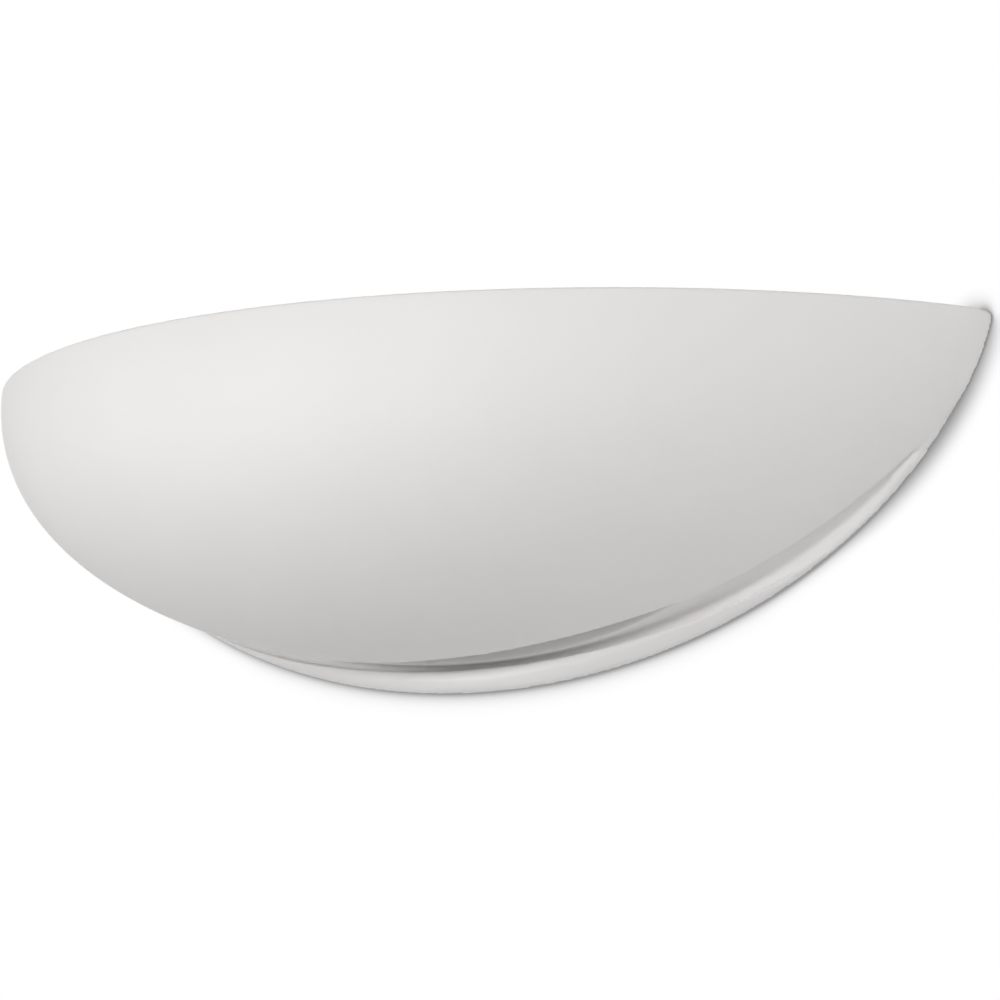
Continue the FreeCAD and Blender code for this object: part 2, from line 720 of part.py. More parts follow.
def contact_tongue():
    """Spring contact: a foot on the well's floor and a blade that rises to the lamp's tip."""
    body = new_body("tongue", "right", on_lamp_axis())
    top = "lamp_tip_lift - tongue_gap"
    blade = polygon(sketch_on(body, "tongue_profile", "XZ_Plane"), [
        ("-tongue_foot_end", WELL_FLOOR), ("-tongue_bend", WELL_FLOOR),
        ("0", f"{top} - tongue_thickness"), ("tongue_tip", f"{top} - tongue_thickness"), ("tongue_tip", top),
        ("-tongue_thickness / 2", top), ("-tongue_bend - tongue_thickness / 2", f"{WELL_FLOOR} + tongue_thickness"),
        ("-tongue_foot_end", f"{WELL_FLOOR} + tongue_thickness"),
    ])
    strip = pad(body, blade, "tongue_width", midplane=True)
    body.Tip = strip
    hole = sketch_on(body, "tongue_hole", "XY_Plane", f"{WELL_FLOOR} + 2 * tongue_thickness")
    circle(hole, (f"-({RIVET_SPOT})", "0"), "tongue_rivet_radius + thread_fit")
    pocket(body, hole, "2 * tongue_thickness")
    keep(body, "lampholder_tongue")


def tongue_rivet():
    head_start = "tongue_rivet_depth + tongue_thickness"
    profile = [
        ("0", "0"), ("tongue_rivet_radius - thread_fit", "0"), ("tongue_rivet_radius - thread_fit", head_start),
        ("tongue_rivet_head_radius", head_start), ("tongue_rivet_head_radius", f"{head_start} + tongue_rivet_head_length / 2"),
        ("tongue_rivet_radius", f"{head_start} + tongue_rivet_head_length"),
        ("0", f"{head_start} + tongue_rivet_head_length"),
    ]
    at = on_lamp_axis(f"{WELL_FLOOR} - tongue_rivet_depth", "0", RIVET_SPOT)
    keep(turned("tongue_rivet_turned", profile, "right", at), "tongue_rivet")


def screw_inserts():
    profile = [
        ("fixing_screw_radius", "0"), ("insert_radius", "0"), ("insert_radius", "insert_length"),
        ("fixing_screw_radius", "insert_length"),
    ]
    inserts = [turned(f"insert_{side + 1}", profile, "right",
                      on_lamp_axis("0", "0", f"{side} * fixing_screw_half_spacing")) for side in SIDES]
    keep(group("inserts", inserts), "lampholder_inserts")


def holder_screws():
    screws = []
    for side in SIDES:
        tip = on_lamp_axis("fixing_screw_length - arm_thickness", "0", f"{side} * fixing_screw_half_spacing")
        screws.append(screw(f"holder_screw_{side + 1}", "left", tip, ("fixing_screw_radius", "fixing_screw_length"),
                            ("fixing_screw_head_radius", "fixing_screw_head_length")))
    keep(group("holder_screws", screws), "lampholder_screws")


def clamp_middle(side, outward="0"):
    """Middle of a terminal clamp, shifted away from the lamp's axis."""
    return on_lamp_axis("clamp_lift + clamp_height / 2", "-clamp_inset - clamp_length / 2",
                        f"{side} * (clamp_half_spacing + {outward})")


def lampholder_terminals():
    clamps = []
    screws = []
    for side in SIDES:
        blank = block(f"clamp_blank_{side + 1}", ("clamp_height", "clamp_length", "clamp_width"),
                      on_lamp_axis("clamp_lift", "-clamp_inset",
                                   f"{side} * clamp_half_spacing - clamp_width / 2"))
        lead_bore = cylinder(f"clamp_bore_{side + 1}", "forward", "clamp_bore_radius", "clamp_length",
                             on_lamp_axis("clamp_lift + clamp_height / 2", "-clamp_inset - clamp_length",
                                          f"{side} * clamp_half_spacing"))
        way = "up" if side > 0 else "down"
        screw_bore = cylinder(f"clamp_thread_{side + 1}", way, "clamp_screw_radius", "clamp_width / 2",
                              clamp_middle(side))
        clamps.append(cut(f"clamp_{side + 1}", blank, [lead_bore, screw_bore]))
        screws.append(screw(f"clamp_screw_{side + 1}", way, clamp_middle(side, "lead_radius"),
                            ("clamp_screw_radius", "clamp_width / 2 - lead_radius"),
                            ("clamp_screw_head_radius", "clamp_screw_head_length")))
    keep(group("clamps", clamps), "lampholder_terminals")
    keep(group("clamp_screws", screws), "lampholder_terminal_screws")


# Lamp: heights are measured along +X from the tip contact

def on_lamp(height="0", forward="0", up="0"):
    return on_lamp_axis(f"lamp_tip_lift + ({height})", forward, up)


NECK = "sqrt(globe_radius ^ 2 - (lamp_length - globe_radius - neck_height) ^ 2)"
CAP_ROOT = "cap_radius - thread_depth"
INSULATOR_TOP = "cap_shoulder_height + insulator_thickness"


def lamp_cap():
    inside = f"{CAP_ROOT} - cap_wall"
    outline = [("cap_shoulder_radius - cap_wall", "cap_shoulder_height"), ("cap_shoulder_radius", "cap_shoulder_height"),
               (CAP_ROOT, "thread_start")]
    turns = int(value("(housing_start - thread_start) / thread_pitch"))
    for turn in range(turns):
        crest = f"thread_start + {turn + 0.5} * thread_pitch"
        for radius, shift in ((CAP_ROOT, -0.4), ("cap_radius", -0.12), ("cap_radius", 0.12), (CAP_ROOT, 0.4)):
            outline.append((radius, f"{crest} + {shift} * thread_pitch"))
    outline += [(CAP_ROOT, "housing_start"), (inside, "housing_start"), (inside, "thread_start"),
                ("cap_shoulder_radius - cap_wall", INSULATOR_TOP)]
    keep(turned("cap", outline, "right", on_lamp()), "lamp_cap")


def lamp_tip():
    profile = [
        ("0", "0"), ("tip_radius - tip_edge", "0"), ("tip_radius", "tip_edge"), ("tip_radius", "tip_height"),
        ("tip_pin_radius", "tip_height"), ("tip_pin_radius", INSULATOR_TOP), ("0", INSULATOR_TOP),
    ]
    keep(turned("tip", profile, "right", on_lamp()), "lamp_tip_contact")
    hole = "tip_pin_radius + thread_fit"
    profile = [
        (hole, "tip_height"), ("tip_radius", "tip_height"), ("cap_shoulder_radius - cap_wall", "cap_shoulder_height"),
        ("cap_shoulder_radius - cap_wall", INSULATOR_TOP), (hole, INSULATOR_TOP),
    ]
    keep(turned("insulator", profile, "right", on_lamp()), "lamp_cap_insulator")


def lamp_housing():
    plug = f"{CAP_ROOT} - cap_wall - thread_fit"
    profile = [
        (plug, "housing_start - housing_plug_length"), (plug, "housing_start"), ("housing_start_radius", "housing_start"),
        (NECK, "neck_height - housing_wall"), (NECK, "neck_height"), (f"{NECK} - housing_ledge", "neck_height"),
        (f"{NECK} - housing_ledge", "neck_height - housing_wall"),
        (f"{plug} - housing_wall", "housing_start + housing_wall"),
        (f"{plug} - housing_wall", "housing_start - housing_plug_length"),
    ]
    keep(turned("housing", profile, "right", on_lamp()), "lamp_housing")


def lamp_globe():
    shells = []
    for name, radius in (("globe_outside", "globe_radius"), ("globe_inside", "globe_radius - globe_wall")):
        obj = doc.addObject("Part::Sphere", name)
        bind(obj, Radius=radius)
        shells.append(place(obj, on_lamp("lamp_length - globe_radius")))
    dome = cut("globe_skin", shells[0], [shells[1]])
    room = block("globe_room", ("lamp_length", "4 * globe_radius", "4 * globe_radius"),
                 on_lamp("neck_height", "2 * globe_radius", "-2 * globe_radius"))
    keep(common("globe", [dome, room]), "lamp_globe")


def led_board():
    seat = f"{NECK} - globe_wall - board_clearance"
    profile = [("0", "neck_height"), (seat, "neck_height"), (seat, "neck_height + board_thickness"),
               ("0", "neck_height + board_thickness")]
    keep(turned("board", profile, "right", on_lamp()), "led_board")
    chips = []
    for i in range(CHIP_COUNT):
        angle = 360 / CHIP_COUNT * (i + 0.5)
        chips.append(block(f"chip_{i + 1}", ("chip_height", "chip_size", "chip_size"),
                           on_lamp("neck_height + board_thickness", f"chip_circle * cos({angle}) + chip_size / 2",
                                   f"chip_circle * sin({angle}) - chip_size / 2")))
    keep(group("chips", chips), "led_chips")


def lamp_driver():
    board = block("driver_board", ("driver_length", "driver_width", "driver_thickness"),
                  on_lamp("driver_start", "driver_width / 2", "-driver_thickness / 2"))
    capacitor = cylinder("capacitor", "right", "capacitor_radius", "capacitor_length",
                         on_lamp("capacitor_start", "0", "driver_thickness / 2 + capacitor_radius * 0.95"))
    keep(fuse("driver", [board, capacitor]), "lamp_driver")


# Terminal block on the bracket, with the supply and lead wires clamped from the front

def pole_x(pole):
    return f"block_centre_x + {pole} * block_pitch"


POLE_Y = bracket_front("pole_depth")
BLOCK_FRONT = bracket_front("block_depth")


def terminal_block():
    half = "block_pitch + block_end"
    blank = block("block_blank", (f"2 * ({half})", "block_depth", "2 * block_half_height"),
                  (f"block_centre_x - ({half})", BLOCK_FRONT, "-block_half_height"))
    tools = []
    inserts = []
    screws = []
    for pole in POLES:
        number = pole + 2
        start = (pole_x(pole), POLE_Y, "-pole_half_length")
        tools.append(cylinder(f"pole_room_{number}", "up", "pole_radius + pole_clearance", "2 * block_half_height",
                              (pole_x(pole), POLE_Y, "-block_half_height")))
        sleeve = cylinder(f"pole_blank_{number}", "up", "pole_radius", "2 * pole_half_length", start)
        cuts = [cylinder(f"pole_bore_{number}", "up", "pole_bore_radius", "2 * pole_half_length", start)]
        for side in SIDES:
            spot = f"{number}_{side + 1}"
            z = f"{side} * pole_screw_half_spacing"
            tip_y = f"{POLE_Y} - lead_radius"
            tools.append(cylinder(f"screw_well_{spot}", "forward", "pole_screw_head_radius + pole_clearance",
                                  "block_depth - pole_depth", (pole_x(pole), POLE_Y, z)))
            cuts.append(cylinder(f"pole_thread_{spot}", "forward", "pole_screw_radius", "pole_radius",
                                 (pole_x(pole), POLE_Y, z)))
            screws.append(screw(f"pole_screw_{spot}", "forward", (pole_x(pole), tip_y, z),
                                ("pole_screw_radius", "pole_radius - lead_radius + 2 * pole_clearance"),
                                ("pole_screw_head_radius", "pole_screw_head_length")))
        inserts.append(cut(f"pole_{number}", sleeve, cuts))
    fixings = []
    for side in SIDES:
        x = f"block_centre_x + {side} * block_pitch / 2"
        seat = f"{BLOCK_FRONT} + block_screw_seat"
        tools.append(cylinder(f"block_hole_{side + 1}", "forward", "block_screw_radius", "block_depth",
                              (x, bracket_front(), "0")))
        tools.append(cylinder(f"block_recess_{side + 1}", "forward", "block_screw_head_radius + pole_clearance",
                              "block_screw_seat", (x, seat, "0")))
        fixings.append(screw(f"block_screw_{side + 1}", "forward", (x, "0", "0"),
                             ("block_screw_radius", "bracket_thickness + block_depth - block_screw_seat"),
                             ("block_screw_head_radius", "block_screw_head_length")))
    keep(cut("terminal_body", blank, tools), "terminal_block")
    keep(group("pole_inserts", inserts), "terminal_inserts")
    keep(group("pole_screws", screws), "terminal_screws")
    keep(group("block_screws", fixings), "terminal_block_screws")


# Earth point: lug, washer and screw on the bracket

BARREL_Y = bracket_front("lug_barrel_radius + lug_barrel_gap")


def earth_point():
    lug_start = ("-earth_x", bracket_front(), "earth_rise")
    ring = cylinder("lug_ring", "forward", "lug_ring_radius", "lug_thickness", lug_start)
    strap = block("lug_strap", ("2 * lug_barrel_radius", "lug_thickness", "lug_barrel_start + lug_barrel_radius"),
                  ("-earth_x - lug_barrel_radius", bracket_front("lug_thickness"),
                   "earth_rise - lug_barrel_start - lug_barrel_radius"))
    barrel_z = "earth_rise - lug_barrel_start - lug_barrel_length"
    barrel = cylinder("lug_barrel", "up", "lug_barrel_radius", "lug_barrel_length", ("-earth_x", BARREL_Y, barrel_z))
    tools = [
        cylinder("lug_hole", "forward", "earth_screw_radius", "lug_thickness", lug_start),
        cylinder("lug_bore", "up", "lead_radius + thread_fit", "lug_barrel_length", ("-earth_x", BARREL_Y, barrel_z)),
    ]
    keep(cut("lug", fuse("lug_blank", [ring, strap, barrel]), tools), "earth_lug")
    washer_start = ("-earth_x", bracket_front("lug_thickness"), "earth_rise")
    disc = cylinder("washer_disc", "forward", "earth_washer_radius", "earth_washer_length", washer_start)
    hole = cylinder("washer_hole", "forward", "earth_screw_radius", "earth_washer_length", washer_start)
    keep(cut("washer", disc, [hole]), "earth_washer")
    shank = "bracket_thickness + lug_thickness + earth_washer_length"
    keep(screw("earth_screw_turned", "forward", ("-earth_x", "0", "earth_rise"), ("earth_screw_radius", shank),
               ("earth_head_radius", "earth_head_length")), "earth_screw")


# Leads: straight runs joined by arcs, each made whole

def rounded_path(points):
    """Wire along straight runs with an arc at each corner, and the arcs' radii."""
    edges = []
    radii = []
    start = points[0]
    for before, corner, after in zip(points, points[1:], points[2:]):
        back = (before - corner)
        ahead = (after - corner)
        run = 0.45 * min(back.Length, ahead.Length)
        back.normalize()
        ahead.normalize()
        half_turn = (math.pi - back.getAngle(ahead)) / 2
        radius = run / math.tan(half_turn)
        radii.append(radius)
        middle_way = (back + ahead).normalize()
        centre = corner + middle_way * (radius / math.cos(half_turn))
        arc_start = corner + back * run
        arc_end = corner + ahead * run
        edges.append(Part.LineSegment(start, arc_start).toShape())
        edges.append(Part.Arc(arc_start, centre - middle_way * radius, arc_end).toShape())
        start = arc_end
    edges.append(Part.LineSegment(start, points[-1]).toShape())
    return Part.Wire(edges), radii


def lead(node, points):
    corners = [FreeCAD.Vector(*(value(text) for text in point)) for point in points]
    route, radii = rounded_path(corners)
    radius = value("lead_radius")
    way = (corners[1] - corners[0]).normalize()
    section = Part.Wire(Part.makeCircle(radius, corners[0], way))
    obj = doc.addObject("Part::Feature", f"{node}_swept")
    obj.Shape = route.makePipeShell([section], True, False)
    expected = math.pi * radius ** 2 * route.Length
    if abs(obj.Shape.Volume - expected) > 0.005 * expected:
        raise RuntimeError(f"{node} is not whole: {obj.Shape.Volume:.0f} of {expected:.0f} mm3")
    print(f"{node}: {route.Length:.1f} mm long, bends {', '.join(f'{r:.1f}' for r in radii)} mm")
    keep(obj, node)


def leads():
    arm_x, clamp_y, live_z = clamp_middle(-1)
    neutral_z = clamp_middle(1)[2]
    block_end = "-lead_end"
    earth_x = pole_x(-1)
    for node, pole, run, end_z in (("live_lead", 1, "-live_run", live_z), ("neutral_lead", 0, "-neutral_run", neutral_z)):
        lead(node, [(pole_x(pole), POLE_Y, block_end), (pole_x(pole), POLE_Y, run), (arm_x, POLE_Y, run),
                    (arm_x, "-lead_rise_start", run), (arm_x, "-lead_rise_end", end_z), (arm_x, clamp_y, end_z)])
    lug_end = "earth_rise - lug_barrel_start - lug_barrel_length + lead_end"
    lead("earth_lead", [(earth_x, POLE_Y, block_end), (earth_x, POLE_Y, "-earth_run"),
                        ("-earth_x + lead_bend_gap", POLE_Y, "-earth_run"), ("-earth_x", BARREL_Y, "-earth_run"),
                        ("-earth_x", BARREL_Y, lug_end)])


def lead_tie():
    """Band around the live and neutral leads where they run side by side."""
    room = "lead_radius + tie_clearance"
    shapes = []
    for name, reach, width in (("tie_outside", f"{room} + tie_thickness", "tie_width"),
                               ("tie_inside", room, "tie_width")):
        low = f"-live_run - ({reach})"
        shapes.append(block(name, (width, f"2 * ({reach})", f"-neutral_run + ({reach}) - ({low})"),
                            ("-tie_x", f"{POLE_Y} - ({reach})", low)))
    keep(cut("tie", shapes[0], [shapes[1]]), "lead_tie")


build_order = [
    bowl_body, wall_bracket, hanging_studs, cable_bush, holder_arm, arm_rivets,
    lampholder_body, screw_shell, contact_tongue, tongue_rivet, screw_inserts, holder_screws, lampholder_terminals,
    lamp_tip, lamp_cap, lamp_housing, lamp_globe, led_board, lamp_driver,
    terminal_block, earth_point, leads, lead_tie,
]
for build in build_order:
    build()

doc.recompute()
for obj in doc.Objects:
    if "Invalid" in obj.State or "Error" in obj.State:
        raise RuntimeError(f"{obj.Name} failed: {obj.State}")
for obj in nodes:
    if obj.Shape.isNull() or not obj.Shape.isValid():
        raise RuntimeError(f"{obj.Label} has no valid shape")
os.makedirs("parts", exist_ok=True)
for obj in nodes:
    obj.Shape.exportStep(f"parts/{obj.Label}.step")
    print(f"{obj.Label}: {len(obj.Shape.Solids)} solid(s), {obj.Shape.Volume:.0f} mm3")
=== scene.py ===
"""Looks of an uplighter wall sconce: a slip-cast half bowl on a steel wall bracket.

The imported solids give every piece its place. The cast bowl is modelled again here with softly rounded
edges, and every other piece gets a finish named for its real material. Metres throughout.
"""

import logging
import math
from dataclasses import dataclass, field
from enum import Enum

import bpy
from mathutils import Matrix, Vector


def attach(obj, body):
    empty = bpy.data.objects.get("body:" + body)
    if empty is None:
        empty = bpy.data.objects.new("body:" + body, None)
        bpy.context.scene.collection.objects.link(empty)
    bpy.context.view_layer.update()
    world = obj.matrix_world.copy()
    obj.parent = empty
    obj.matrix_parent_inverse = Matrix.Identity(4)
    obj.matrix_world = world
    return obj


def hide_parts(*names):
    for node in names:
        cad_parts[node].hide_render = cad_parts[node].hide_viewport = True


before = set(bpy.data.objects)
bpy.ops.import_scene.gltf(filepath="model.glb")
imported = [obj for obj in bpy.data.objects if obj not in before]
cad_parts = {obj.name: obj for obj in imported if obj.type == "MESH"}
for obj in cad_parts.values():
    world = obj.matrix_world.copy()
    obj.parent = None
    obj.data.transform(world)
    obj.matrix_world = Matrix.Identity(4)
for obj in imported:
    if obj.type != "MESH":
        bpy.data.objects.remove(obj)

LOG = logging.getLogger("sconce")
MM = 0.001
PLAIN_WHITE = (1.0, 1.0, 1.0, 1.0)
DRAWN_STRETCH = (0.04, 1.0, 1.0)      # drawn metal's lines run along X
CLOUD_DETAIL = 4.0
CLOUD_ROUGHNESS = 0.55
GRAIN_DETAIL = 2.0
COAT_ROUGHNESS = 0.08
LIGHT_SPREAD = 2.0 * MM               # how far light travels under a milky skin
STRIPE_BAND = (0.35, 0.45)            # upward slant at which a lead's stripe starts and is full
AMBIENT_SAMPLES = 24


# Colours and nodes

def linear(code: str) -> tuple[float, float, float, float]:
    """Turn an sRGB hex colour into linear values.

    Args:
        code: six hex digits after a hash sign.

    Returns:
        Linear red, green and blue with an alpha of one.
    """
    parts = [int(code[i:i + 2], 16) / 255 for i in (1, 3, 5)]
    values = [p / 12.92 if p <= 0.04045 else ((p + 0.055) / 1.055) ** 2.4 for p in parts]
    return (*values, 1.0)


def add_node(tree: bpy.types.NodeTree, kind: str, inputs: dict | None = None,
             **settings: object) -> bpy.types.Node:
    """Add one node with its settings and links.

    Args:
        tree: node tree that the node goes into.
        kind: the node's type name.
        inputs: socket name or number to a plain value, or to the output socket it is linked from.
        settings: the node's own properties.

    Returns:
        The new node.
    """
    node = tree.nodes.new(kind)
    for name, value in settings.items():
        setattr(node, name, value)
    for key, value in (inputs or {}).items():
        if isinstance(value, bpy.types.NodeSocket):
            tree.links.new(value, node.inputs[key])
        else:
            node.inputs[key].default_value = value
    return node


class Pattern(Enum):
    """How a finish varies over the surface."""

    CLOUDS = "clouds"
    DRAWN = "drawn"


@dataclass(frozen=True)
class Finish:
    """A real material and how its surface was made.

    Attributes:
        name: what it is and how it was made.
        colour: its usual colour.
        second: the colour it drifts to.
        pattern: how it drifts.
        size_mm: size of one patch of the pattern.
        grain_mm: size of the finest relief, drawn as coarse as it needs to show.
        relief_mm: height of that relief.
        roughness: lowest and highest roughness.
        metallic: one for bare metal.
        ior: index of refraction, where it isn't metal.
        coat: strength of a clear glaze or lacquer.
        subsurface: how much light spreads under the skin.
    """

    name: str
    colour: str
    second: str
    pattern: Pattern = Pattern.CLOUDS
    size_mm: float = 12.0
    grain_mm: float = 0.5
    relief_mm: float = 0.02
    roughness: tuple[float, float] = (0.4, 0.5)
    metallic: float = 0.0
    ior: float = 1.5
    coat: float = 0.0
    subsurface: float = 0.0

    def pattern_node(self, tree: bpy.types.NodeTree, coords: bpy.types.NodeSocket) -> bpy.types.NodeSocket:
        """Lay out the finish's drift from one colour to the other.

        Args:
            tree: the material's nodes.
            coords: object coordinates in metres.

        Returns:
            A value from zero to one over the surface.
        """
        scale = 1 / (self.size_mm * MM)
        if self.pattern is Pattern.DRAWN:
            stretched = add_node(tree, "ShaderNodeMapping", {"Vector": coords, "Scale": DRAWN_STRETCH})
            coords = stretched.outputs["Vector"]
        clouds = add_node(tree, "ShaderNodeTexNoise", {
            "Vector": coords, "Scale": scale, "Detail": CLOUD_DETAIL, "Roughness": CLOUD_ROUGHNESS})
        return clouds.outputs["Fac"]

    def material(self) -> bpy.types.Material:
        """Build the finish's material.

        Returns:
            The new material.
        """
        made = bpy.data.materials.new(self.name)
        made.use_nodes = True
        tree = made.node_tree
        shader = tree.nodes["Principled BSDF"]
        coords = add_node(tree, "ShaderNodeTexCoord").outputs["Object"]
        drift = self.pattern_node(tree, coords)
        colours = add_node(tree, "ShaderNodeMix", {0: drift, 6: linear(self.colour), 7: linear(self.second)},
                           data_type="RGBA")
        grain = add_node(tree, "ShaderNodeTexNoise", {"Vector": coords, "Scale": 1 / (self.grain_mm * MM),
                                                      "Detail": GRAIN_DETAIL})
        wear = add_node(tree, "ShaderNodeMapRange", {"Value": drift, "To Min": self.roughness[0],
                                                     "To Max": self.roughness[1]})
        relief = add_node(tree, "ShaderNodeBump", {"Height": grain.outputs["Fac"], "Strength": 1.0,
                                                   "Distance": self.relief_mm * MM})
        self.dress(tree, shader, colours.outputs[2], coords)
        tree.links.new(wear.outputs["Result"], shader.inputs["Roughness"])
        tree.links.new(relief.outputs["Normal"], shader.inputs["Normal"])
        shader.inputs["Metallic"].default_value = self.metallic
        shader.inputs["Coat Weight"].default_value = self.coat
        shader.inputs["Coat Roughness"].default_value = COAT_ROUGHNESS
        shader.inputs["Subsurface Weight"].default_value = self.subsurface
        shader.inputs["Subsurface Scale"].default_value = LIGHT_SPREAD
        if self.metallic == 0.0:
            shader.inputs["IOR"].default_value = self.ior
        return made

    def dress(self, tree: bpy.types.NodeTree, shader: bpy.types.Node, colour: bpy.types.NodeSocket,
              coords: bpy.types.NodeSocket) -> None:
        """Link the colour to the shader.

        Args:
            tree: the material's nodes.
            shader: the surface shader.
            colour: the drifting colour.
            coords: object coordinates in metres; not used.
        """
        tree.links.new(colour, shader.inputs["Base Color"])


@dataclass(frozen=True)
class StripedSleeve(Finish):
    """Two-colour insulation: a stripe of the second colour along the lead's upper side."""

    stripe: str = "#D8C21E"

    def dress(self, tree: bpy.types.NodeTree, shader: bpy.types.Node, colour: bpy.types.NodeSocket,
              coords: bpy.types.NodeSocket) -> None:
        """Lay the stripe over the sleeve's colour.

        Args:
            tree: the material's nodes.
            shader: the surface shader.
            colour: the drifting colour.
            coords: object coordinates in metres; not used.
        """
        facing = add_node(tree, "ShaderNodeSeparateXYZ",
                          {"Vector": add_node(tree, "ShaderNodeNewGeometry").outputs["Normal"]})
        edge = add_node(tree, "ShaderNodeMapRange", {"Value": facing.outputs["Z"], "From Min": STRIPE_BAND[0],
                                                     "From Max": STRIPE_BAND[1]})
        mixed = add_node(tree, "ShaderNodeMix",
                         {0: edge.outputs["Result"], 6: colour, 7: linear(self.stripe)}, data_type="RGBA")
        tree.links.new(mixed.outputs[2], shader.inputs["Base Color"])


# Slip-cast stoneware fired once and left unglazed: dead matt and chalky, nearly even in colour, with
# faint clouds where the slip drained and a sponge-smoothed skin that has no shine at all.
BISQUE = Finish("bisque_fired_stoneware", "#F0EFEF", "#ECEAE8", size_mm=45.0, grain_mm=0.7,
                relief_mm=0.012, roughness=(0.86, 0.95), ior=1.45)
# Zinc-plated cold-rolled steel: cool grey, a soft blue to straw drift from the passivation, fine rolled
# grain.
ZINC_STEEL = Finish("zinc_plated_rolled_steel", "#C3C8CE", "#CBC7B9", pattern=Pattern.DRAWN, size_mm=3.0,
                    grain_mm=0.25, relief_mm=0.006, roughness=(0.28, 0.42), metallic=1.0)
# Zinc-plated turned steel of the screws, rivets and studs: brighter and finer than the sheet.
ZINC_TURNED = Finish("zinc_plated_turned_steel", "#CDD1D6", "#BFC0BC", size_mm=2.0, grain_mm=0.2,
                     relief_mm=0.004, roughness=(0.22, 0.34), metallic=1.0)
# Moulded natural rubber filled with carbon black: deep matt black with a faint bloom.
BUSH_RUBBER = Finish("moulded_black_rubber", "#1B1B1C", "#262625", size_mm=4.0, grain_mm=0.4,
                     relief_mm=0.02, roughness=(0.62, 0.78))
# Glazed electrical porcelain: thin clear glaze over a warm white body, glassy highlights, slight
# pooling.
PORCELAIN = Finish("glazed_electrical_porcelain", "#EDEAE2", "#E2DDD1", size_mm=14.0, grain_mm=1.6,
                   relief_mm=0.02, roughness=(0.14, 0.24), coat=0.6)
# Bare pressed brass: warm yellow with browner clouds where it has been handled.
BRASS = Finish("bare_pressed_brass", "#D9B96A", "#B8924A", size_mm=5.0, grain_mm=0.3, relief_mm=0.006,
               roughness=(0.22, 0.42), metallic=1.0)
# Nickel-plated pressed brass of a lamp cap: pale warm grey, bright, with faint draw lines.
NICKEL = Finish("nickel_plated_pressed_brass", "#D2CEC6", "#BDB8AE", pattern=Pattern.DRAWN, size_mm=2.0,
                grain_mm=0.25, relief_mm=0.004, roughness=(0.16, 0.3), metallic=1.0)
# Black glass between a lamp cap's two contacts: smooth and shiny, a little wavy from being poured.
CAP_GLASS = Finish("poured_black_glass", "#0B0B0D", "#141316", size_mm=3.0, grain_mm=1.2, relief_mm=0.02,
                   roughness=(0.06, 0.12), ior=1.52)
# PBT lamp housing, moulded with a fine spark-eroded texture: warm white with a low silky shine.
LAMP_PBT = Finish("moulded_pbt_lamp_housing", "#EFEEEA", "#EAE8E2", size_mm=18.0, grain_mm=0.35,
                  relief_mm=0.02, roughness=(0.42, 0.5), ior=1.57)
# Opal polycarbonate blown into the lamp's diffuser: milky, light spreads under the skin, satin shine.
OPAL = Finish("blown_opal_polycarbonate", "#F4F4F1", "#EFEFEB", size_mm=25.0, grain_mm=1.0,
              relief_mm=0.006, roughness=(0.26, 0.32), ior=1.58, subsurface=0.35)
# Aluminium board under white solder mask: even satin white, orange-peel relief.
SOLDER_MASK = Finish("white_solder_mask_on_aluminium", "#F0F0EC", "#E8E8E2", size_mm=6.0, grain_mm=0.5,
                     relief_mm=0.008, roughness=(0.32, 0.4))
# Silicone with phosphor over the chips: egg-yolk yellow, soft and slightly granular.
PHOSPHOR = Finish("phosphor_filled_silicone", "#E9B93A", "#DDA72A", size_mm=1.0, grain_mm=0.2,
                  relief_mm=0.01, roughness=(0.3, 0.4), subsurface=0.2)
# Glass-fibre board with green solder mask: the weave shows as a faint darker drift.
DRIVER_BOARD = Finish("green_solder_mask_on_glass_fibre", "#1E5A34", "#174A2A", size_mm=1.2, grain_mm=0.4,
                      relief_mm=0.01, roughness=(0.3, 0.42), coat=0.2)
# Polyamide terminal block, moulded in its natural colour: creamy, slightly see-through at its edges.
POLYAMIDE = Finish("moulded_natural_polyamide", "#E7E3D6", "#DFD9C8", size_mm=10.0, grain_mm=0.4,
                   relief_mm=0.015, roughness=(0.36, 0.46), ior=1.53, subsurface=0.25)
# Extruded PVC sleeving: even strong colour, waxy shine and faint lines along its length.
BROWN_PVC = Finish("extruded_brown_pvc", "#5A3320", "#4E2B1A", size_mm=4.0, grain_mm=0.4, relief_mm=0.008,
                   roughness=(0.32, 0.42), ior=1.53)
BLUE_PVC = Finish("extruded_blue_pvc", "#2B4FA8", "#254594", size_mm=4.0, grain_mm=0.4, relief_mm=0.008,
                  roughness=(0.32, 0.42), ior=1.53)
EARTH_PVC = StripedSleeve("extruded_green_and_yellow_pvc", "#3E8F36", "#35802F", size_mm=4.0, grain_mm=0.4,
                          relief_mm=0.008, roughness=(0.32, 0.42), ior=1.53)
# Nylon tie: milky and smooth.
NYLON = Finish("moulded_nylon", "#E9E8E2", "#DEDCD3", size_mm=3.0, grain_mm=0.4, relief_mm=0.008,
               roughness=(0.3, 0.38), subsurface=0.3)


# Modelling with operators

def only(*objects: bpy.types.Object) -> None:
    """Select just these objects and make the first one active.

    Args:
        objects: what to select.
    """
    bpy.ops.object.select_all(action="DESELECT")
    for item in objects:
        item.select_set(True)
    bpy.context.view_layer.objects.active = objects[0]


def in_edit_mode(piece: bpy.types.Object) -> None:
    """Open a piece in edit mode with everything in it selected.

    Args:
        piece: the piece to open.
    """
    only(piece)
    bpy.ops.object.mode_set(mode="EDIT")
    bpy.ops.mesh.select_all(action="SELECT")


def finish_piece(piece: bpy.types.Object, name: str, finish: Finish) -> bpy.types.Object:
    """Name a piece, put its origin at the frame's and dress it.

    Args:
        piece: the finished mesh.
        name: the piece's name.
        finish: what it is made of.

    Returns:
        The same piece.
    """
    only(piece)
    bpy.ops.object.transform_apply(location=True, rotation=True, scale=True)
    piece.name = name
    piece.data.name = name
    piece.data.materials.clear()
    piece.data.materials.append(finish.material())
    return piece


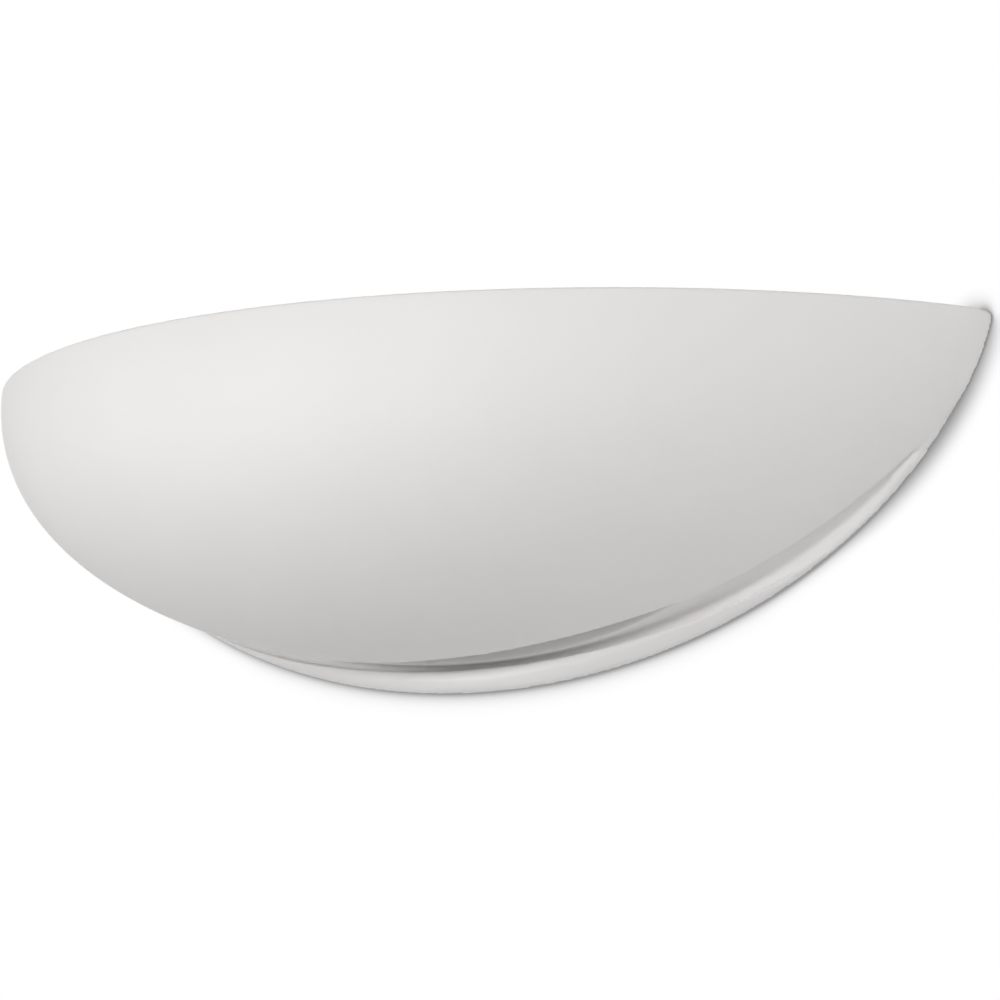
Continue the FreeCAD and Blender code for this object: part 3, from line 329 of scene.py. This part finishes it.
def combine(piece: bpy.types.Object, tool: bpy.types.Object, how: str) -> bpy.types.Object:
    """Apply one solid to another and throw the tool away.

    Args:
        piece: the solid that is kept.
        tool: the solid that is used up.
        how: UNION, DIFFERENCE or INTERSECT.

    Returns:
        The kept solid.
    """
    only(piece)
    modifier = piece.modifiers.new(how.lower(), "BOOLEAN")
    modifier.operation = how
    modifier.solver = "EXACT"
    modifier.object = tool
    bpy.ops.object.modifier_apply(modifier=modifier.name)
    bpy.data.objects.remove(tool, do_unlink=True)
    return piece


def apply_modifier(piece: bpy.types.Object, kind: str, **settings: object) -> None:
    """Add a modifier with its settings and apply it.

    Args:
        piece: the piece it works on.
        kind: the modifier's type name.
        settings: the modifier's own properties.
    """
    only(piece)
    modifier = piece.modifiers.new(kind.lower(), kind)
    for name, value in settings.items():
        setattr(modifier, name, value)
    bpy.ops.object.modifier_apply(modifier=modifier.name)


def box_between(low: tuple[float, float, float], high: tuple[float, float, float]) -> bpy.types.Object:
    """Add a block between two corners, as a cutting or building tool.

    Args:
        low: lowest corner.
        high: highest corner.

    Returns:
        The block.
    """
    bpy.ops.object.select_all(action="DESELECT")
    centre = (Vector(low) + Vector(high)) / 2
    bpy.ops.mesh.primitive_cube_add(size=1, location=centre)
    block = bpy.context.object
    block.dimensions = Vector(high) - Vector(low)
    bpy.ops.object.transform_apply(location=True, rotation=True, scale=True)
    return block


@dataclass
class CastBowl:
    """The slip-cast bowl: skin, groove, light slot, back lip and two ears, all in one piece.

    The rim is level and stands rim_height above the hanging studs. The centres of skin, lip and ridge are
    given from the rim. Radii run along X, Y and Z, and the ridge's along X and Z.
    """

    rim_height: float = 25.0 * MM
    rim_half_width: float = 190.0 * MM
    rim_corner: float = 3.5 * MM
    skin_radii: tuple[float, float, float] = (209.4 * MM, 250.0 * MM, 113.5 * MM)
    skin_back: float = 95.35 * MM
    skin_rise: float = 38.1 * MM
    skin_tilt: float = math.radians(17.4)
    thickness: float = 6.0 * MM
    groove_depth: float = 1.5 * MM
    crease_slope: float = math.radians(16.9)
    crease_drop: float = 26.0 * MM
    lip_radii: tuple[float, float, float] = (193.5 * MM, 30.0 * MM, 124.1 * MM)
    lip_rise: float = 23.4 * MM
    lip_slope: float = math.radians(4.3)
    ridge_radii: tuple[float, float] = (162.8 * MM, 65.0 * MM)
    ridge_drop: float = 28.7 * MM
    lip_web: float = 2.5 * MM
    slot_half_length: float = 88.0 * MM
    slot_depth: float = 18.0 * MM
    slot_bulges: tuple[float, float] = (9.5 * MM, 10.0 * MM)
    ear_x: float = 114.0 * MM
    ear_front: float = 11.0 * MM
    ear_back: float = 5.0 * MM
    ear_top: float = 10.0 * MM
    ear_bottom: float = 19.0 * MM
    keyhole_x: float = 128.0 * MM
    keyhole_radius: float = 5.6 * MM
    keyhole_neck: float = 2.8 * MM
    keyhole_lift: float = 8.0 * MM
    far: float = 0.4                  # longer than anything in the bowl
    sphere_segments: tuple[int, int] = (256, 128)
    slot_segments: int = 1024
    ridge_segments: int = 512
    keyhole_segments: int = 48
    corner_segments: int = 6
    softening_share: float = 0.5
    clay_step: float = 0.65 * MM
    softening: int = 10
    most_triangles: int = 190000

    def ellipsoid(self, centre: Vector, radii: tuple[float, float, float],
                  tilt: float = 0.0) -> bpy.types.Object:
        """Add an ellipsoid, tilted about the row's X axis.

        Args:
            centre: its centre.
            radii: radii along X, Y and Z before it is tilted.
            tilt: angle about X.

        Returns:
            The ellipsoid.
        """
        bpy.ops.object.select_all(action="DESELECT")
        segments, rings = self.sphere_segments
        bpy.ops.mesh.primitive_uv_sphere_add(segments=segments, ring_count=rings, radius=1.0,
                                             location=(0, 0, 0))
        form = bpy.context.object
        in_edit_mode(form)
        bpy.ops.transform.resize(value=radii)
        bpy.ops.object.mode_set(mode="OBJECT")
        form.rotation_euler = (tilt, 0, 0)
        form.location = centre
        bpy.ops.object.transform_apply(location=True, rotation=True, scale=True)
        return form

    def skin(self, inset: float) -> bpy.types.Object:
        """Add the bowl's ellipsoid, or one inside it.

        Args:
            inset: how far inside the outer skin it lies.

        Returns:
            The ellipsoid.
        """
        centre = Vector((0, self.skin_back, self.rim_height + self.skin_rise))
        return self.ellipsoid(centre, tuple(r - inset for r in self.skin_radii), self.skin_tilt)

    def trim(self, form: bpy.types.Object, point: Vector, outward: Vector) -> bpy.types.Object:
        """Cut a form flat and close it.

        Args:
            form: the form to cut.
            point: a point on the cutting plane.
            outward: the side that is thrown away.

        Returns:
            The cut form.
        """
        in_edit_mode(form)
        bpy.ops.mesh.bisect(plane_co=point, plane_no=outward, use_fill=True,
                            clear_outer=True, clear_inner=False)
        bpy.ops.object.mode_set(mode="OBJECT")
        return form

    def below_rim(self, form: bpy.types.Object) -> bpy.types.Object:
        """Cut a form off at the wall and at the rim, with the rim's two corners rounded.

        Args:
            form: the form to cut.

        Returns:
            The cut form.
        """
        low = (-self.rim_half_width, -self.far, -self.far)
        room = box_between(low, (self.rim_half_width, 0, self.rim_height))
        in_edit_mode(room)
        bpy.ops.mesh.select_mode(type="EDGE")
        bpy.ops.mesh.select_all(action="DESELECT")
        bpy.ops.object.mode_set(mode="OBJECT")
        for edge in room.data.edges:
            ends = [room.data.vertices[i].co for i in edge.vertices]
            along_y = abs(ends[0].y - ends[1].y) > self.far / 2
            edge.select = along_y and min(end.z for end in ends) > 0
        bpy.ops.object.mode_set(mode="EDIT")
        bpy.ops.mesh.bevel(offset=self.rim_corner, segments=self.corner_segments)
        bpy.ops.object.mode_set(mode="OBJECT")
        return combine(form, room, "INTERSECT")

    def leaning_plane(self, slope: float, top: float) -> tuple[Vector, Vector]:
        """Describe a plane that leaves the wall at a height and leans out downwards.

        Args:
            slope: angle between the plane and the wall.
            top: where it leaves the wall.

        Returns:
            A point on the plane, and its normal towards the room.
        """
        return Vector((0, 0, top)), Vector((0, -math.cos(slope), math.sin(slope)))

    def upright_cylinder(self, centre_y: float, radius: float) -> bpy.types.Object:
        """Add a tall smooth cylinder that passes through the bowl's floor.

        Args:
            centre_y: where its axis stands.
            radius: its radius.

        Returns:
            The cylinder.
        """
        bpy.ops.object.select_all(action="DESELECT")
        bpy.ops.mesh.primitive_cylinder_add(vertices=self.slot_segments, radius=radius, depth=self.far / 2,
                                            location=(0, centre_y, -self.far / 4 - self.ear_bottom))
        bpy.ops.object.transform_apply(location=True, rotation=True, scale=True)
        return bpy.context.object

    def light_slot(self) -> bpy.types.Object:
        """Make the lens-shaped tool that opens the slot.

        Returns:
            The tool.
        """
        tools = []
        for bulge, way in zip(self.slot_bulges, (-1, 1)):
            radius = (self.slot_half_length ** 2 + bulge ** 2) / (2 * bulge)
            tools.append(self.upright_cylinder(-self.slot_depth + way * (bulge - radius), radius))
        return combine(tools[0], tools[1], "INTERSECT")

    def lip(self) -> bpy.types.Object:
        """Make the crescent that stands against the wall below the bowl.

        Returns:
            The lip.
        """
        form = self.ellipsoid(Vector((0, 0, self.rim_height + self.lip_rise)), self.lip_radii)
        self.trim(form, *self.leaning_plane(self.lip_slope, self.rim_height))
        bpy.ops.object.select_all(action="DESELECT")
        bpy.ops.mesh.primitive_cylinder_add(vertices=self.ridge_segments, radius=1.0, depth=1.0,
                                            location=(0, 0, 0), rotation=(math.pi / 2, 0, 0))
        hole = bpy.context.object
        bpy.ops.object.transform_apply(location=True, rotation=True, scale=True)
        in_edit_mode(hole)
        bpy.ops.transform.resize(value=(self.ridge_radii[0], self.far, self.ridge_radii[1]))
        offset = (0, -self.lip_web - self.far / 2, self.rim_height - self.ridge_drop)
        bpy.ops.transform.translate(value=offset)
        bpy.ops.object.mode_set(mode="OBJECT")
        return combine(form, hole, "DIFFERENCE")

    def ear(self, side: int) -> bpy.types.Object:
        """Make one ear with its keyhole.

        Args:
            side: one for the right, minus one for the left.

        Returns:
            The ear.
        """
        ends = sorted((side * self.ear_x, side * self.rim_half_width))
        low = (ends[0], -self.ear_front, -self.ear_bottom)
        ear = box_between(low, (ends[1], -self.ear_back, self.ear_top))
        combine(ear, self.skin(self.thickness / 2), "INTERSECT")
        for radius, drop in ((self.keyhole_radius, self.keyhole_lift), (self.keyhole_neck, 0.0)):
            bpy.ops.object.select_all(action="DESELECT")
            bpy.ops.mesh.primitive_cylinder_add(vertices=self.keyhole_segments, radius=radius,
                                                depth=4 * self.ear_back,
                                                location=(side * self.keyhole_x, -self.ear_back, -drop),
                                                rotation=(math.pi / 2, 0, 0))
            combine(ear, bpy.context.object, "DIFFERENCE")
        neck_left = side * self.keyhole_x - self.keyhole_neck
        neck = box_between((neck_left, -2 * self.ear_front, -self.keyhole_lift),
                           (neck_left + 2 * self.keyhole_neck, 0, 0))
        return combine(ear, neck, "DIFFERENCE")

    def build(self) -> bpy.types.Object:
        """Model the bowl and let its edges settle as fired clay does.

        Returns:
            The bowl.
        """
        bowl = self.skin(0.0)
        point, outward = self.leaning_plane(self.crease_slope, self.rim_height - self.crease_drop)
        self.trim(bowl, point, -outward)
        combine(bowl, self.skin(self.groove_depth), "UNION")
        combine(bowl, self.lip(), "UNION")
        combine(bowl, self.skin(self.thickness), "DIFFERENCE")
        combine(bowl, self.light_slot(), "DIFFERENCE")
        for side in (-1, 1):
            combine(bowl, self.ear(side), "UNION")
        self.below_rim(bowl)
        apply_modifier(bowl, "REMESH", mode="VOXEL", voxel_size=self.clay_step, adaptivity=0.0)
        apply_modifier(bowl, "SMOOTH", factor=self.softening_share, iterations=self.softening)
        apply_modifier(bowl, "DECIMATE", ratio=self.most_triangles / (2 * len(bowl.data.polygons)))
        only(bowl)
        bpy.ops.object.shade_smooth()
        finish_piece(bowl, "cast_bowl", BISQUE)
        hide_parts("bowl_body")
        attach(bowl, "bowl")
        LOG.info("cast_bowl: %d faces", len(bowl.data.polygons))
        return bowl


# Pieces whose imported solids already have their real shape

@dataclass
class DressedNodes:
    """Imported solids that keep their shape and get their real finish."""

    finishes: dict[str, Finish] = field(default_factory=lambda: {
        "wall_bracket": ZINC_STEEL, "hanging_studs": ZINC_TURNED, "cable_bush": BUSH_RUBBER,
        "holder_arm": ZINC_STEEL, "arm_rivets": ZINC_TURNED,
        "lampholder_body": PORCELAIN, "lampholder_shell": BRASS, "lampholder_tongue": BRASS,
        "tongue_rivet": BRASS,
        "lampholder_inserts": BRASS, "lampholder_screws": ZINC_TURNED, "lampholder_terminals": BRASS,
        "lampholder_terminal_screws": ZINC_TURNED,
        "terminal_block": POLYAMIDE, "terminal_inserts": BRASS, "terminal_screws": ZINC_TURNED,
        "terminal_block_screws": ZINC_TURNED,
        "earth_lug": BRASS, "earth_washer": ZINC_TURNED, "earth_screw": ZINC_TURNED,
        "live_lead": BROWN_PVC, "neutral_lead": BLUE_PVC, "earth_lead": EARTH_PVC, "lead_tie": NYLON,
        "lamp_tip_contact": NICKEL, "lamp_cap_insulator": CAP_GLASS, "lamp_cap": NICKEL,
        "lamp_housing": LAMP_PBT,
        "lamp_globe": OPAL, "led_board": SOLDER_MASK, "led_chips": PHOSPHOR, "lamp_driver": DRIVER_BOARD,
    })

    def build(self) -> None:
        """Put each finish on its solids' material slots."""
        made: dict[str, bpy.types.Material] = {}
        for node, finish in self.finishes.items():
            if finish.name not in made:
                made[finish.name] = finish.material()
            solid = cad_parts[node]
            if not solid.material_slots:
                solid.data.materials.append(made[finish.name])
            for material_slot in solid.material_slots:
                material_slot.material = made[finish.name]
            LOG.info("%s: %s", node, finish.name)


# Camera, wall and light

@dataclass(frozen=True)
class SoftLamp:
    """One wide, low lamp that faces the light fitting.

    Attributes:
        name: where it stands.
        place: middle of its face.
        power: its power in watts.
        size: width and height of its face.
    """

    name: str
    place: tuple[float, float, float]
    power: float
    size: tuple[float, float] = (1.2, 0.25)

    def hang(self, target: Vector) -> bpy.types.Object:
        """Hang the lamp and aim it.

        Args:
            target: the point it faces.

        Returns:
            The lamp.
        """
        data = bpy.data.lights.new(self.name, "AREA")
        data.shape = "RECTANGLE"
        data.size, data.size_y = self.size
        data.energy = self.power
        item = bpy.data.objects.new(self.name, data)
        bpy.context.scene.collection.objects.link(item)
        item.location = self.place
        item.rotation_mode = "QUATERNION"
        item.rotation_quaternion = (target - item.location).to_track_quat("-Z", "Y")
        return item


@dataclass
class Studio:
    """White wall, soft light and the camera at the photograph's angle."""

    azimuth: float = math.radians(39.0)
    elevation: float = math.radians(-8.77)
    distance: float = 1.5
    target: tuple[float, float, float] = (0.04132, -0.0495, -0.023935)
    lens: float = 176.04
    sensor: float = 36.0
    clip_start: float = 0.05
    lamps: tuple[SoftLamp, ...] = (
        SoftLamp("left", (-1.35, -1.9, 0.15), 13.5),
        SoftLamp("right", (0.92, -2.15, 0.12), 20.0),
        SoftLamp("high", (0.6, -1.6, 1.6), 2.5),
    )
    floor_strength: float = 0.42
    side_strength: float = 0.65
    top_strength: float = 0.18
    wall_gap: float = 0.4 * MM
    # Painted shadow on the wall round the bowl's outline, set by how closed in the wall is there, not cast by
    # the lamps.
    shadow_reach: float = 13.0 * MM
    shadow_openness: tuple[float, float] = (0.55, 0.93)
    shadow_tone: float = 0.32
    # Painted shade on the wall inside the bowl, seen through the light slot.
    inner_shade_reach: float = 60.0 * MM
    inner_shade_openness: tuple[float, float] = (0.1, 0.4)
    inner_shade_tone: float = 0.3
    wall_size: float = 4.0
    wall_paint: str = "#E6E6E6"
    floor_band: tuple[float, float] = (-0.3, 0.0)
    ceiling_band: tuple[float, float] = (0.05, 0.45)

    def camera(self) -> bpy.types.Object:
        """Stand the camera below and to the right of the light.

        Returns:
            The camera.
        """
        data = bpy.data.cameras.new("camera")
        data.sensor_width = self.sensor
        data.lens = self.lens
        data.clip_start = self.clip_start
        item = bpy.data.objects.new("camera", data)
        bpy.context.scene.collection.objects.link(item)
        back = Vector((math.sin(self.azimuth) * math.cos(self.elevation),
                       -math.cos(self.azimuth) * math.cos(self.elevation), math.sin(self.elevation)))
        item.location = Vector(self.target) + back * self.distance
        item.rotation_mode = "QUATERNION"
        item.rotation_quaternion = (-back).to_track_quat("-Z", "Y")
        bpy.context.scene.camera = item
        return item

    def hollow_shade(self, tree: bpy.types.NodeTree, reach: float, openness: tuple[float, float],
                     darkest: float) -> bpy.types.NodeSocket:
        """Paint shade on the wall where something stands close in front of it.

        Args:
            tree: the wall material's nodes.
            reach: how far away it still counts.
            openness: how open the place is where the shade is full, and where it ends.
            darkest: tone of the full shade.

        Returns:
            The painted shade's tone, one where nothing is near.
        """
        near = add_node(tree, "ShaderNodeAmbientOcclusion", {"Distance": reach}, samples=AMBIENT_SAMPLES)
        tone = add_node(tree, "ShaderNodeMapRange", {
            "Value": near.outputs["AO"], "From Min": openness[0], "From Max": openness[1],
            "To Min": darkest, "To Max": 1.0}, interpolation_type="SMOOTHSTEP")
        return tone.outputs["Result"]

    def wall_material(self) -> bpy.types.Material:
        """Paint the wall plain white, with a painted shadow close round the bowl and painted shade on the
        wall inside it.

        Returns:
            The material.
        """
        made = bpy.data.materials.new("matt_white_wall_paint")
        made.use_nodes = True
        tree = made.node_tree
        tree.nodes.remove(tree.nodes["Principled BSDF"])
        paint = add_node(tree, "ShaderNodeBsdfDiffuse", {"Color": linear(self.wall_paint)})
        # Painted shadow round the bowl and painted shade inside it, shown as emission to camera, glossy and
        # transmission rays; other rays see the lamp-lit paint.
        edge = self.hollow_shade(tree, self.shadow_reach, self.shadow_openness, self.shadow_tone)
        inside = self.hollow_shade(tree, self.inner_shade_reach, self.inner_shade_openness, self.inner_shade_tone)
        shade = add_node(tree, "ShaderNodeMath", {0: edge, 1: inside}, operation="MULTIPLY")
        seen = add_node(tree, "ShaderNodeEmission", {"Color": PLAIN_WHITE, "Strength": shade.outputs[0]})
        rays = add_node(tree, "ShaderNodeLightPath")
        looked = rays.outputs["Is Camera Ray"]
        for kind in ("Is Glossy Ray", "Is Transmission Ray"):
            looked = add_node(tree, "ShaderNodeMath", {0: looked, 1: rays.outputs[kind]},
                              operation="MAXIMUM").outputs[0]
        face = add_node(tree, "ShaderNodeMixShader", {0: looked, 1: paint.outputs[0], 2: seen.outputs[0]})
        clear = add_node(tree, "ShaderNodeBsdfTransparent")
        side = add_node(tree, "ShaderNodeNewGeometry")
        both = add_node(tree, "ShaderNodeMixShader", {0: side.outputs["Backfacing"], 1: face.outputs[0],
                                                      2: clear.outputs[0]})
        tree.links.new(both.outputs[0], tree.nodes["Material Output"].inputs["Surface"])
        return made

    def wall(self) -> bpy.types.Object:
        """Put up the wall behind the light.

        Returns:
            The wall.
        """
        bpy.ops.object.select_all(action="DESELECT")
        bpy.ops.mesh.primitive_plane_add(size=self.wall_size, location=(0, self.wall_gap, 0),
                                         rotation=(math.pi / 2, 0, 0))
        wall = bpy.context.object
        wall.name = "wall"
        wall.data.materials.append(self.wall_material())
        return wall

    def world(self) -> None:
        """Fill the room with plain white light, softer from the ceiling and the floor than from the sides."""
        world = bpy.data.worlds.new("room")
        bpy.context.scene.world = world
        world.use_nodes = True
        tree = world.node_tree
        rays = add_node(tree, "ShaderNodeLightPath")
        seen = add_node(tree, "ShaderNodeBackground", {"Color": PLAIN_WHITE, "Strength": 1.0})
        lit = tree.nodes["Background"]
        lit.inputs["Color"].default_value = PLAIN_WHITE
        way = add_node(tree, "ShaderNodeSeparateXYZ",
                       {"Vector": add_node(tree, "ShaderNodeTexCoord").outputs["Generated"]})
        below = add_node(tree, "ShaderNodeMapRange", {
            "Value": way.outputs["Z"], "From Min": self.floor_band[0], "From Max": self.floor_band[1],
            "To Min": self.floor_strength / self.side_strength, "To Max": 1.0})
        above = add_node(tree, "ShaderNodeMapRange", {
            "Value": way.outputs["Z"], "From Min": self.ceiling_band[0], "From Max": self.ceiling_band[1],
            "To Min": self.side_strength, "To Max": self.top_strength})
        strength = add_node(tree, "ShaderNodeMath", {0: below.outputs["Result"], 1: above.outputs["Result"]},
                            operation="MULTIPLY")
        tree.links.new(strength.outputs[0], lit.inputs["Strength"])
        mixed = add_node(tree, "ShaderNodeMixShader", {0: rays.outputs["Is Camera Ray"], 1: lit.outputs[0],
                                                       2: seen.outputs[0]})
        tree.links.new(mixed.outputs[0], tree.nodes["World Output"].inputs["Surface"])

    def build(self) -> None:
        """Set up camera, wall and light."""
        bpy.context.scene.view_settings.view_transform = "Standard"
        self.camera()
        self.wall()
        self.world()
        for lamp in self.lamps:
            lamp.hang(Vector(self.target))


def main() -> None:
    """Build the light's pieces and the studio."""
    logging.basicConfig(level=logging.INFO, format="%(message)s")
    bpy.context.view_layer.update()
    CastBowl().build()
    DressedNodes().build()
    Studio().build()


if __name__ == "__main__":
    main()
